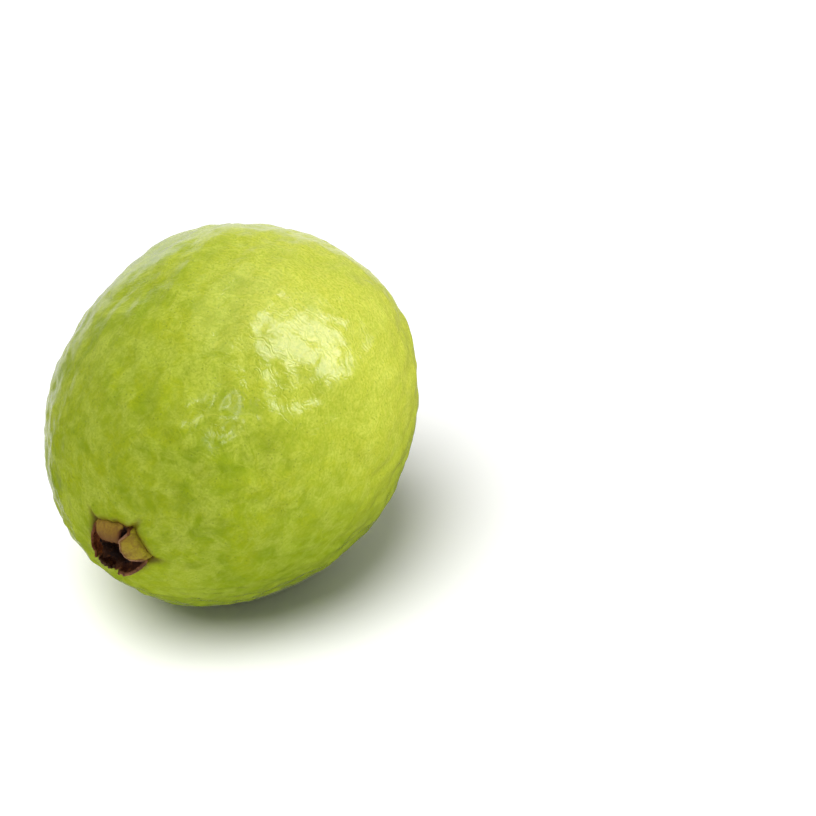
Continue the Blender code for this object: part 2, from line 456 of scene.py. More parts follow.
class NodeSheet:
    """Adds nodes to a node tree, so that a material reads as a list of steps."""

    def __init__(self, tree: bpy.types.NodeTree) -> None:
        """Starts on an empty tree."""
        self.tree = tree
        tree.nodes.clear()

    def add(self, kind: str, inputs: dict | None = None, **settings: object) -> bpy.types.Node:
        """Adds a node.

        Args:
            kind: the node's type.
            inputs: for each input's name or number, a socket to link or a value to set. A colour has
                three numbers.
            settings: the node's own properties.

        Returns:
            The new node.
        """
        node = self.tree.nodes.new(kind)
        for name, value in settings.items():
            setattr(node, name, value)
        for key, value in (inputs or {}).items():
            if isinstance(value, Socket):
                self.tree.links.new(value, node.inputs[key])
            elif node.inputs[key].type == "RGBA":
                node.inputs[key].default_value = (*value, 1.0)
            else:
                node.inputs[key].default_value = value
        return node

    def use(self, group: bpy.types.NodeTree, **inputs: Number) -> bpy.types.NodeOutputs:
        """Places a node group with its own values."""
        return self.add("ShaderNodeGroup", inputs, node_tree=group).outputs

    def math(self, operation: str, first: Number, second: Number = 0.0, third: Number = 0.0) -> Socket:
        """Works out a sum of the kind named, of sockets or numbers."""
        return self.add("ShaderNodeMath", {0: first, 1: second, 2: third}, operation=operation).outputs[0]

    def one_over(self, size: Number) -> Number:
        """The scale at which a pattern has this size."""
        return self.math("DIVIDE", 1.0, size) if isinstance(size, Socket) else 1.0 / size

    def times(self, first: Socket, second: Number) -> Socket:
        """Multiplies two values."""
        return self.math("MULTIPLY", first, second)

    def plus(self, first: Socket, second: Socket, share: float = 1.0) -> Socket:
        """Adds a share of the second value to the first."""
        return self.math("MULTIPLY_ADD", second, share, first)

    def toward(self, place: Socket, direction: Vector | tuple[float, float, float]) -> Socket:
        """How far a place lies in a direction: their dot product."""
        inputs = {0: place, 1: direction}
        return self.add("ShaderNodeVectorMath", inputs, operation="DOT_PRODUCT").outputs["Value"]

    def mix(self, share: Socket, first: Socket | Colour, second: Socket | Colour) -> Socket:
        """Mixes two colours."""
        return self.add("ShaderNodeMix", {0: share, 6: first, 7: second}, data_type="RGBA").outputs[2]

    def spread(self, value: Socket, low: float, high: float, start: float = 0.0, end: float = 1.0) -> Socket:
        """Stretches values between low and high to run smoothly from start to end, and holds them there."""
        inputs = {"Value": value, "From Min": low, "From Max": high, "To Min": start, "To Max": end}
        return self.add("ShaderNodeMapRange", inputs, interpolation_type="SMOOTHSTEP").outputs[0]

    def noise(
        self, place: Socket, size: Number, detail: float, roughness: float, twist: float = 0.0
    ) -> Socket:
        """Adds noise between 0 and 1.

        Args:
            place: coordinates that it is worked out on.
            size: about how big its patches are.
            detail: how many finer octaves it has.
            roughness: how strong those are.
            twist: how far it is bent by itself.

        Returns:
            The noise.
        """
        look = {"Detail": detail, "Roughness": roughness, "Distortion": twist}
        inputs = {"Vector": place, "Scale": self.one_over(size), **look}
        return self.add("ShaderNodeTexNoise", inputs).outputs["Fac"]

    def cells(self, place: Socket, size: Number) -> bpy.types.NodeOutputs:
        """Cells of about this size, with the distance from each one's middle and a random colour."""
        return self.add("ShaderNodeTexVoronoi", {"Vector": place, "Scale": self.one_over(size)}).outputs

    def attribute(self, name: str) -> Socket:
        """A value that the mesh holds."""
        return self.add("ShaderNodeAttribute", attribute_name=name).outputs["Fac"]

    def world_place(self) -> Socket:
        """Where a point lies in the world, because every piece's object sits at the origin."""
        return self.add("ShaderNodeTexCoord").outputs["Object"]

    def fruit_place(self, lie: FruitFrame) -> Socket:
        """Where a point lies in the fruit's own frame."""
        mapping = {"Vector": self.world_place(), "Location": lie.place, "Rotation": (lie.turn, 0.0, 0.0)}
        return self.add("ShaderNodeMapping", mapping, vector_type="TEXTURE").outputs[0]

    def fibres(self, place: Socket, stretch: float) -> Socket:
        """Coordinates on which every pattern is drawn out along the fruit's axis."""
        return self.add("ShaderNodeMapping", {"Vector": place, "Scale": (1.0, 1.0, stretch)}).outputs[0]


def start_group(
    name: str, usual: dict[str, float], *results: str
) -> tuple[NodeSheet, bpy.types.NodeOutputs]:
    """Starts a node group that takes a place and some numbers and gives numbers.

    Args:
        name: the group's name.
        usual: the usual value under each number's name.
        results: names of the numbers that it gives.

    Returns:
        The group's sheet and what it is given.
    """
    tree = bpy.data.node_groups.new(name, "ShaderNodeTree")
    tree.interface.new_socket("Place", in_out="INPUT", socket_type="NodeSocketVector")
    for label, value in usual.items():
        tree.interface.new_socket(label, in_out="INPUT", socket_type="NodeSocketFloat").default_value = value
    for label in results:
        tree.interface.new_socket(label, in_out="OUTPUT", socket_type="NodeSocketFloat")
    sheet = NodeSheet(tree)
    return sheet, sheet.add("NodeGroupInput").outputs


class Effects:
    """The node groups that the materials use."""

    def __init__(self) -> None:
        """Builds each group once."""
        self.wrinkles = self.build_wrinkles()
        self.grain = self.build_grain()
        self.specks = self.build_specks()

    @staticmethod
    def build_wrinkles() -> bpy.types.NodeTree:
        """Fine swirling lines, as on the ball of a thumb, frayed and mixed with crumples.

        The lines are the sine of a phase: a slope that rises by about half a turn every spacing, with hills
        on it that bend the lines, and noise that frays them.

        Returns:
            The group, which gives a height.
        """
        usual = {"Spacing": 1.1 * MM, "Swirl": 6.0 * MM, "Fray": 1.0}
        sheet, given = start_group("wrinkles", usual, "Height")
        place, spacing, swirl, fray = (given[name] for name in ("Place", *usual))
        hills = sheet.noise(place, swirl, 1.0, 0.5, 0.8)
        crumple = sheet.noise(place, sheet.math("DIVIDE", spacing, 1.3), 2.5, 0.6)
        slope = sheet.toward(place, (0.35, 0.65, 0.68))
        phase = sheet.times(sheet.math("DIVIDE", slope, spacing), FULL_TURN * 0.55)
        phase = sheet.plus(phase, sheet.times(hills, sheet.math("DIVIDE", swirl, spacing)), 5.0)
        phase = sheet.plus(phase, sheet.times(crumple, fray), 5.0)
        height = sheet.plus(sheet.times(sheet.math("SINE", phase), 0.30), crumple, 0.48)
        sheet.add("NodeGroupOutput", {"Height": height})
        return sheet.tree

    @staticmethod
    def build_grain() -> bpy.types.NodeTree:
        """The grain of dry plant tissue: fibres and broad patches, broken by crumbs.

        Returns:
            The group, which gives a shade and a height.
        """
        usual = {"Size": 0.6 * MM, "Crumble": 0.5}
        sheet, given = start_group("dry_grain", usual, "Shade", "Height")
        place, size, crumble = (given[name] for name in ("Place", *usual))
        fibres = sheet.noise(place, size, 4.0, 0.6, 0.6)
        patches = sheet.noise(place, sheet.math("DIVIDE", size, 0.3), 4.0, 0.6, 0.6)
        crumbs = sheet.times(sheet.cells(place, size)["Distance"], crumble)
        shade = sheet.plus(sheet.times(fibres, 0.45), patches, 0.55)
        sheet.add("NodeGroupOutput", {"Shade": shade, "Height": sheet.plus(fibres, crumbs)})
        return sheet.tree

    @staticmethod
    def build_specks() -> bpy.types.NodeTree:
        """Small round dots, one in each cell, of which only a share is there.

        Returns:
            The group, which gives a mask.
        """
        sheet, given = start_group("specks", {"Size": 1.4 * MM, "Share": 0.4}, "Mask")
        cells = sheet.cells(given["Place"], given["Size"])
        dot = sheet.spread(cells["Distance"], 0.06, 0.24, 1.0, 0.0)
        chance = sheet.add("ShaderNodeSeparateColor", {"Color": cells["Color"]}).outputs[0]
        there = sheet.math("LESS_THAN", chance, given["Share"])
        sheet.add("NodeGroupOutput", {"Mask": sheet.times(dot, there)})
        return sheet.tree


# ---------------------------------------------------------------- finishes


def start_material(name: str) -> tuple[bpy.types.Material, NodeSheet]:
    """Starts a material.

    Args:
        name: the material's name.

    Returns:
        The material and its empty sheet.
    """
    material = bpy.data.materials.new(name)
    material.use_nodes = True
    return material, NodeSheet(material.node_tree)


def end_material(sheet: NodeSheet, shader: dict, height: Socket, distance: float) -> None:
    """Adds the bump, the shader and the output.

    Args:
        sheet: the material's sheet.
        shader: the shader's inputs.
        height: the relief, between 0 and 1.
        distance: how high the relief is.
    """
    bump = sheet.add("ShaderNodeBump", {"Height": height, "Distance": distance, "Strength": 1.0})
    surface = sheet.add("ShaderNodeBsdfPrincipled", {**shader, "Normal": bump.outputs[0]})
    sheet.add("ShaderNodeOutputMaterial", {"Surface": surface.outputs[0]})


@dataclass(frozen=True)
class SkinFinish:
    """Waxy yellow-green skin: mottled, streaked along the fruit, paler and yellower where it is ripe and lit
    by painted sheen, and darker green below as painted shade.
    """

    # A dark green that paints shade onto the underside.
    green: Colour = (0.174, 0.250, 0.001)
    deep: Colour = (0.270, 0.390, 0.001)
    plain: Colour = (0.432, 0.520, 0.002)
    pale: Colour = (0.566, 0.664, 0.066)
    # Ripe yellow: partly the skin's own colour, partly a painted sheen on its lit upper right.
    ripe: Colour = (0.715, 0.700, 0.105)
    dot: Colour = (0.120, 0.200, 0.010)
    scar: Colour = (0.135, 0.050, 0.012)
    ripe_lit_side: tuple[float, float, float] = (0.68, 0.28, 0.62)
    shaded_side: tuple[float, float, float] = (0.50, -0.15, -0.85)
    cloud_size: float = 13.0 * MM
    streak_size: float = 4.0 * MM
    bloom_size: float = 5.5 * MM
    fleck_size: float = 1.9 * MM
    pore_size: float = 0.55 * MM
    dot_size: float = 1.2 * MM
    wrinkle_spacing: float = 0.62 * MM
    wrinkle_swirl: float = 3.2 * MM
    wrinkle_height: float = 0.048 * MM

    def build(self, effects: Effects, lie: FruitFrame) -> bpy.types.Material:
        """Builds the material, with its scars where the mesh's value "seam" is high.

        Args:
            effects: the shared node groups.
            lie: how the fruit lies, so that the pattern follows its axis.

        Returns:
            The material.
        """
        material, sheet = start_material("guava_skin")
        world, place = sheet.world_place(), sheet.fruit_place(lie)
        clouds = sheet.noise(place, self.cloud_size, 4.0, 0.6, 0.6)
        streaks = sheet.noise(sheet.fibres(place, 0.22), self.streak_size, 4.0, 0.6, 0.4)
        bloom = sheet.noise(place, self.bloom_size, 4.0, 0.6, 0.8)
        flecks = sheet.noise(place, self.fleck_size, 3.0, 0.65, 0.6)
        pores = sheet.noise(place, self.pore_size, 2.0, 0.6)
        dots = sheet.use(effects.specks, Place=place, Size=self.dot_size, Share=0.55)["Mask"]
        lines = {"Spacing": self.wrinkle_spacing, "Swirl": self.wrinkle_swirl, "Fray": 0.72}
        wrinkles = sheet.use(effects.wrinkles, Place=place, **lines)["Height"]

        tone = sheet.plus(sheet.times(clouds, 0.6), streaks, 0.4)
        colour = sheet.mix(sheet.spread(tone, 0.31, 0.62), self.deep, self.plain)
        colour = sheet.mix(sheet.spread(bloom, 0.40, 0.66, 0.0, 0.82), colour, self.pale)
        # Painted sheen: towards the lit upper right the skin turns paler and yellower, partly ripeness and
        # partly painted light.
        ripe_and_lit = sheet.plus(sheet.toward(world, Vector(self.ripe_lit_side).normalized()), clouds, 14.0 * MM)
        colour = sheet.mix(sheet.spread(ripe_and_lit, 38.0 * MM, 92.0 * MM, 0.0, 0.80), colour, self.ripe)
        # Painted shade: the underside, down and to the right, is mixed towards dark green.
        depth = sheet.toward(world, Vector(self.shaded_side).normalized())
        underside_shading = sheet.plus(depth, bloom, 5.0 * MM)
        colour = sheet.mix(sheet.spread(underside_shading, -24.0 * MM, 22.0 * MM, 0.0, 0.75), colour, self.green)

        colour = sheet.mix(sheet.spread(flecks, 0.40, 0.72, 0.0, 0.34), colour, self.pale)
        colour = sheet.mix(sheet.spread(pores, 0.34, 0.58, 0.36, 0.0), colour, self.deep)
        colour = sheet.mix(sheet.times(dots, 0.46), colour, self.dot)
        # Painted shade: the wrinkles' valleys are darkened towards the deep green.
        colour = sheet.mix(sheet.spread(wrinkles, -0.10, 0.45, 0.24, 0.0), colour, self.deep)
        seam = sheet.times(sheet.attribute("seam"), sheet.spread(flecks, 0.30, 0.62, 0.7, 1.0))
        colour = sheet.mix(seam, colour, self.scar)

        relief = sheet.plus(wrinkles, pores, 0.15)
        relief = sheet.times(relief, sheet.spread(depth, -18.0 * MM, 16.0 * MM, 1.0, 0.06))
        shader = {
            "Base Color": colour,
            "Roughness": sheet.spread(flecks, 0.30, 0.70, 0.18, 0.27),
            "IOR": 1.42,
            "Subsurface Weight": 0.12,
            "Subsurface Radius": (1.0, 1.0, 0.3),
            "Subsurface Scale": 1.5 * MM,
            "Coat Weight": 0.18,
            "Coat Roughness": 0.14,
        }
        end_material(sheet, shader, relief, self.wrinkle_height)
        return material


@dataclass(frozen=True)
class SepalFinish:
    """A dried sepal: like the skin at its foot, tan towards its tip, violet-brown at its rim, dark inside.

    piece is the name of the piece that it is for.
    """

    piece: str
    foot: Colour
    outside: Colour
    rim: Colour
    inside: Colour = (0.050, 0.012, 0.005)
    inside_pale: Colour = (0.180, 0.060, 0.014)
    grain_size: float = 0.65 * MM
    grain_height: float = 0.06 * MM

    def build(self, effects: Effects) -> bpy.types.Material:
        """Builds the material from the sepal's own values along, edge and inner.

        Args:
            effects: the shared node groups.

        Returns:
            The material.
        """
        material, sheet = start_material(self.piece + "_tissue")
        grain = sheet.use(effects.grain, Place=sheet.world_place(), Size=self.grain_size, Crumble=0.5)
        shade = grain["Shade"]
        uneven = sheet.plus(sheet.attribute("along"), shade, 0.5)
        outside = sheet.mix(sheet.spread(uneven, 0.35, 1.05), self.foot, self.outside)
        outside = sheet.mix(sheet.spread(shade, 0.57, 0.40, 0.0, 0.52), outside, self.inside_pale)
        inside = sheet.mix(sheet.spread(shade, 0.46, 0.66), self.inside, self.inside_pale)
        colour = sheet.mix(sheet.spread(sheet.attribute("inner"), 0.35, 0.65), outside, inside)
        edge = sheet.plus(sheet.attribute("edge"), shade, 0.5)
        scorch = sheet.times(sheet.spread(edge, 0.35, 0.62), sheet.spread(edge, 0.62, 0.95, 1.0, 0.0))
        colour = sheet.mix(sheet.times(scorch, 0.75), colour, self.inside_pale)
        rim = sheet.mix(sheet.spread(shade, 0.56, 0.40, 0.0, 0.65), self.rim, self.inside)
        colour = sheet.mix(sheet.spread(edge, 0.62, 0.95), colour, rim)
        shader = {"Base Color": colour, "Roughness": sheet.spread(shade, 0.3, 0.7, 0.5, 0.72), "IOR": 1.36}
        end_material(sheet, shader, grain["Height"], self.grain_height)
        return material


@dataclass(frozen=True)
class DryFinish:
    """Dark dried tissue with paler crumbs, palest where the mesh's value "pale" is high."""

    name: str
    dark: Colour
    pale: Colour
    grain_size: float = 0.6 * MM
    grain_height: float = 0.10 * MM

    def build(self, effects: Effects) -> bpy.types.Material:
        """Builds the material.

        Args:
            effects: the shared node groups.

        Returns:
            The material.
        """
        material, sheet = start_material(self.name)
        grain = sheet.use(effects.grain, Place=sheet.world_place(), Size=self.grain_size, Crumble=0.8)
        crumbs = sheet.spread(grain["Shade"], 0.50, 0.70)
        share = sheet.math("MAXIMUM", crumbs, sheet.times(sheet.attribute("pale"), 0.8))
        roughness = sheet.spread(grain["Shade"], 0.3, 0.7, 0.60, 0.85)
        shader = {"Base Color": sheet.mix(share, self.dark, self.pale), "Roughness": roughness}
        end_material(sheet, shader, grain["Height"], self.grain_height)
        return material


@dataclass(frozen=True)
class StemFinish:
    """Green bark, brown at its foot and round the cut, and the cut's pale wood with its dark pith."""

    bark: Colour = (0.105, 0.150, 0.018)
    bark_dark: Colour = (0.045, 0.055, 0.012)
    cork: Colour = (0.130, 0.070, 0.032)
    wood: Colour = (0.420, 0.230, 0.110)
    pith: Colour = (0.070, 0.030, 0.012)
    grain_size: float = 0.7 * MM
    grain_height: float = 0.10 * MM
    wart_size: float = 1.1 * MM

    def build(self, effects: Effects, lie: FruitFrame) -> bpy.types.Material:
        """Builds the material from the stem's own values cork, cut and heart.

        Args:
            effects: the shared node groups.
            lie: how the fruit lies, so that the fibres follow the stem.

        Returns:
            The material.
        """
        material, sheet = start_material("green_wood")
        place = sheet.fibres(sheet.fruit_place(lie), 0.25)
        grain = sheet.use(effects.grain, Place=place, Size=self.grain_size, Crumble=0.3)
        warts = sheet.use(effects.specks, Place=place, Size=self.wart_size, Share=0.4)["Mask"]
        shade = grain["Shade"]
        colour = sheet.mix(sheet.spread(shade, 0.35, 0.62), self.bark_dark, self.bark)
        colour = sheet.mix(sheet.times(warts, 0.7), colour, self.cork)
        uneven = sheet.plus(sheet.attribute("cork"), shade, 0.5)
        colour = sheet.mix(sheet.spread(uneven, 0.60, 0.95), colour, self.cork)
        rings = sheet.plus(sheet.attribute("heart"), shade, 0.35)
        face = sheet.mix(sheet.spread(rings, 0.95, 1.12), self.wood, self.pith)
        face = sheet.mix(sheet.spread(rings, 0.55, 0.36), face, self.cork)
        colour = sheet.mix(sheet.spread(sheet.attribute("cut"), 0.4, 0.6), colour, face)
        shader = {"Base Color": colour, "Roughness": sheet.spread(shade, 0.3, 0.7, 0.48, 0.70)}
        end_material(sheet, shader, grain["Height"], self.grain_height)
        return material


# ---------------------------------------------------------------- pieces


def make_piece(
    name: str, shape: Shape, material: bpy.types.Material, slot: str, *replaces: str
) -> bpy.types.Object:
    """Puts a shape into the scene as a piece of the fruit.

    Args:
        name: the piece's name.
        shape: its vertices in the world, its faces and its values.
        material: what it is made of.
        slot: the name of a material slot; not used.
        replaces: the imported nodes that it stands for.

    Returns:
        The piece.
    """
    mesh = bpy.data.meshes.new(name)
    mesh.from_pydata(shape.vertices.tolist(), [], shape.faces)
    mesh.shade_smooth()
    for label, values in shape.values.items():
        attribute = mesh.attributes.new(label, "FLOAT", "POINT")
        attribute.data.foreach_set("value", values.astype(np.float32))
    mesh.materials.append(material)
    piece = bpy.data.objects.new(name, mesh)
    bpy.context.scene.collection.objects.link(piece)
    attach(piece, BODY)
    if replaces:
        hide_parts(*replaces)
    log.info("%s: %d vertices", name, len(shape.vertices))
    return piece


@dataclass(frozen=True)
class FruitSkin:
    """The fruit's skin: the plain form with its hollows, folds, ridges and lumps."""

    form: FruitForm
    lie: FruitFrame
    rings: int = 260
    sectors: int = 376
    crowding: float = 0.42
    basin_depth: float = 6.6 * MM
    basin_share: float = 0.86
    basin_steepness: float = 12.0
    crease_depth: float = 0.30 * MM
    lip_height: float = 0.30 * MM
    corner_depth: float = 0.60 * MM
    pucker_height: float = 0.13 * MM
    stem_fold_height: float = 0.26 * MM
    stain_width: float = 1.40 * MM
    stain_extra: float = 1.5 * MM
    stem_foot_radius: float = 3.2 * MM
    press: float = 0.25 * MM
    lumps: tuple[Lumps, ...] = (
        Lumps(17.0 * MM, 0.15 * MM, 40, 3),
        Lumps(7.0 * MM, 0.066 * MM, 60, 5),
        Lumps(3.4 * MM, 0.036 * MM, 70, 8),
        Lumps(2.2 * MM, 0.015 * MM, 80, 9),
        Lumps(6.0 * MM, 0.105 * MM, 50, 13, 0.16),
        Lumps(2.8 * MM, 0.034 * MM, 70, 14, 0.16),
    )

    def calyx_relief(self, around: np.ndarray, radius: np.ndarray) -> np.ndarray:
        """How far the skin is lowered at the calyx end.

        Its basin is e to the minus (radius / its share of the ring) to a power. A crease runs along the
        sepals' feet and a lip outside it. Dents at the ring's corners and random puckers fade outwards.

        Args:
            around: angle round the axis.
            radius: distance from the axis.

        Returns:
            The depth at each point.
        """
        ring = self.form.ring.radius(around)
        gap = radius - ring
        fade = bell(np.maximum(gap - 0.5 * MM, 0.0), 3.6 * MM)
        basin = self.basin_depth * np.exp(-((radius / (self.basin_share * ring)) ** self.basin_steepness))
        crease = self.crease_depth * bell(gap, 0.75 * MM)
        lip = self.lip_height * bell(gap - 2.2 * MM, 1.5 * MM)
        corners = self.corner_depth * self.form.ring.nearness(around, 5.5) * fade
        puckers = self.pucker_height * ripples(around_axis(1.0, around, 30.0 * radius), 0.42, 0.5, 40, 21)
        return basin + crease - lip + corners + puckers * fade * ease(radius, 3.0 * MM, 7.0 * MM)

    def stem_relief(self, around: np.ndarray, radius: np.ndarray) -> np.ndarray:
        """How far the skin is lowered at the stem end: its cavity, less random folds that fade outwards.

        Args:
            around: angle round the axis.
            radius: distance from the axis.

        Returns:
            The depth at each point.
        """
        folds = self.stem_fold_height * ripples(around_axis(1.0, around, 12.0 * radius), 0.9, 0.6, 40, 33)
        folds = folds * bell(radius - 8.0 * MM, 6.0 * MM) * ease(radius, 2.0 * MM, 5.0 * MM)
        return self.form.stem_cavity.lower(radius, around) - folds

    def build(self, material: bpy.types.Material) -> bpy.types.Object:
        """Works out the skin, lays it down, presses its flat spot and makes the piece.

        A sine of the rings' even share crowds them towards both ends. The flat spot brings every height to
        half of itself plus half the root of its square plus the square of the press.

        Args:
            material: what it is made of.

        Returns:
            The piece. Its value "seam" is highest along the sepals' feet and round the stem's foot.
        """
        share = np.linspace(0.0, 1.0, self.rings)[:, None]
        polar = math.pi * (share - self.crowding * np.sin(FULL_TURN * share) / FULL_TURN)
        around = full_circle(self.sectors)
        points, outward, radius = self.form.plain(polar, around)
        lift = sum(lump.lift(points) for lump in self.lumps) * ease(radius, 6.0 * MM, 16.0 * MM)
        points = points + outward * lift[..., None]
        calyx_half = np.cos(polar) > 0.0
        sunk = np.where(calyx_half, self.calyx_relief(around, radius), -self.stem_relief(around, radius))
        points[..., 2] -= sunk

        gap = np.maximum(radius - self.form.ring.radius(around), 0.0)
        stain = self.stain_width + self.stain_extra * self.form.ring.nearness(around, 6.0)
        stem_foot = bell(np.maximum(radius - self.stem_foot_radius, 0.0), 1.3 * MM)
        seam = np.where(calyx_half, bell(gap, stain), 0.8 * stem_foot)

        world = self.lie.lay(points)
        height = world[..., 2]
        world[..., 2] = (height + np.sqrt(height**2 + self.press**2)) / 2.0
        world[..., 2] -= world[..., 2].min()
        shape = closed_round(world, {"seam": seam})
        return make_piece("fruit_skin", shape, material, "guava_skin", "fruit_body")


@dataclass(frozen=True)
class Sepal:
    """One dried sepal, as a flap hinged on its side of the ring.

    lean and curl are the directions in which it starts and ends, inwards from straight up.
    """

    name: str
    node: str
    around: float
    half_angle: float
    length: float
    lean: float
    curl: float
    bulge: float
    thickness: float
    tip_width: float
    rounding: float
    ragged: float
    seed: int
    sunk: float = 0.5 * MM
    root: float = 0.40
    foot_share: float = 0.96
    vein_height: float = 0.06 * MM
    bead: float = 0.35
    bead_width: float = 0.45 * MM
    rim_width: float = 0.85 * MM
    rows: int = 72
    columns: int = 90

    def middle_surface(self, ring: CalyxRing, brim: float) -> tuple[np.ndarray, np.ndarray]:
        """The sepal's middle surface.

        Across it, u runs from -1 to 1 along its side of the ring. Up it, v runs from below 0, in the crease,
        to 1 along an arc whose direction turns evenly from lean to curl: the way inwards and the rise are
        the integrals of its sine and cosine. Rows and columns crowd towards the rim, to make it round.

        Args:
            ring: the ring that it stands on.
            brim: height of the skin at the ring.

        Returns:
            The grid of points, and how far up the sepal each one is, from 0 to 1.
        """
        even = np.linspace(-1.0, 1.0, self.columns)[None, :]
        u = np.sin(even * math.pi / 2.0) * 0.55 + even * 0.45
        share = np.linspace(0.0, 1.0, self.rows)[:, None]
        v = (1.0 - (1.0 - share) ** 1.6) * (1.0 + self.root) - self.root
        up = np.maximum(v, 0.0)
        middle = math.radians(self.around)
        angle = middle + math.radians(self.half_angle) * u
        foot = around_axis(self.foot_share * ring.radius(angle), angle, brim - self.sunk)
        centre = foot[:, self.columns // 2][:, None]
        width = 1.0 - (1.0 - self.tip_width) * up**2.2
        side = centre + (foot - centre) * width[..., None]

        places = np.stack(np.broadcast_arrays(3.0 * u, 0.0, float(self.seed)), axis=-1)
        torn = ripples(places, 1.3, 1.1, 24, self.seed)
        reach = up * (1.0 - self.rounding * np.abs(u) ** 3.0 - self.ragged * torn)
        start, change = math.radians(self.lean), math.radians(self.curl - self.lean)
        heading = start + change * reach
        below = self.length * np.minimum(v, 0.0)
        inwards = self.length * (math.cos(start) - np.cos(heading)) / change + below * math.sin(start)
        rise = self.length * (np.sin(heading) - math.sin(start)) / change + below * math.cos(start)
        grid = side + around_axis(-inwards, middle, rise)

        belly = self.bulge * (1.0 - u**2) * np.sin(math.pi * up * 0.85)
        veins = self.vein_height * np.cos(11.0 * u + 0.8 * torn) * ease(v, 0.0, 0.3)
        relief = 0.09 * MM * ripples(grid, 3.2 * MM, 0.7, 40, self.seed + 1)
        relief = relief + 0.014 * MM * ripples(grid, 0.9 * MM, 0.5, 40, self.seed + 2)
        grid = grid + surface_normals(grid) * (belly + veins + relief)[..., None]
        return grid, np.broadcast_to(up, grid.shape[:2])

    def build(
        self, ring: CalyxRing, brim: float, lie: FruitFrame, material: bpy.types.Material
    ) -> bpy.types.Object:
        """Gives the middle surface its wall, whose rim is swollen and round, and makes the piece.

        Args:
            ring: the ring that it stands on.
            brim: height of the skin at the ring.
            lie: how the fruit lies.
            material: what it is made of.

        Returns:
            The piece. Its value "along" grows from foot to tip, and "edge" is highest at its rim.
        """
        grid, along = self.middle_surface(ring, brim)
        steps = np.linalg.norm(np.diff(grid, axis=0), axis=-1)
        to_tip = np.vstack([np.cumsum(steps[::-1], axis=0)[::-1], np.zeros((1, self.columns))])
        across = np.cumsum(np.linalg.norm(np.diff(grid, axis=1), axis=-1), axis=1)
        across = np.hstack([np.zeros((self.rows, 1)), across])
        to_side = np.minimum(across, across[:, -1:] - across)
        to_rim = np.minimum(to_tip, to_side)
        past_foot = 2.0 * MM * (1.0 - ease(along, 0.0, 0.5))
        edge = bell(np.minimum(to_tip, to_side + past_foot), self.rim_width)
        wall = self.thickness * (1.1 - 0.35 * along)
        wall = wall * (1.0 + self.bead * bell(to_rim - self.bead_width, self.bead_width))
        share = np.minimum(to_rim / (0.5 * self.thickness), 1.0)
        wall = wall * np.sqrt(np.clip(1.0 - (1.0 - share) ** 2, 0.02, 1.0))
        shape = closed_shell(lie.lay(grid), wall, {"along": along, "edge": edge})
        return make_piece(self.name, shape, material, "dried_sepal", self.node)


@dataclass(frozen=True)
class Threads:
    """Dried threads that stand in the cup.

    root is the distance of their roots from the axis, and sunk is how far below the brim those are. Each
    thread has steps points along it and sides points round it.
    """

    count: int
    length: float
    thickness: float
    root: float
    sunk: float
    seed: int
    steps: int
    sides: int

    def grow(self, brim: float, lie: FruitFrame) -> Shape:
        """Works out every thread's path: it rises, leans inwards more and more, and sways to its side.

        Args:
            brim: height of the skin at the ring.
            lie: how the fruit lies.

        Returns:
            All the threads as one shape in the world.
        """
        chance = np.random.default_rng(self.seed)
        around = chance.uniform(0.0, FULL_TURN, self.count)
        radius = self.root * chance.uniform(0.75, 1.05, self.count)
        reach = self.length * chance.uniform(0.55, 1.25, self.count)
        lean = chance.uniform(-0.15, 0.75, self.count)[:, None, None]
        sway = chance.normal(0.0, 0.45, self.count)[:, None, None]
        bend = chance.normal(0.0, 0.5, self.count)[:, None, None]
        wear = self.thickness * chance.uniform(0.7, 1.3, self.count)[:, None]
        up = np.array([0.0, 0.0, 1.0])
        out = around_axis(1.0, around, 0.0)
        side = np.cross(up, out)
        foot = around_axis(radius, around, brim - self.sunk)
        share = np.linspace(0.0, 1.0, self.steps)[None, :, None]
        path = foot[:, None] + reach[:, None, None] * (
            up * (share - 0.35 * share**2)
            - out[:, None] * lean * share**1.5
            + side[:, None] * (sway * share + bend * share**2 * np.sin(3.0 * share))
        )
        return swept_threads(lie.lay(path), wear * (1.0 - 0.45 * share[..., 0]), self.sides)


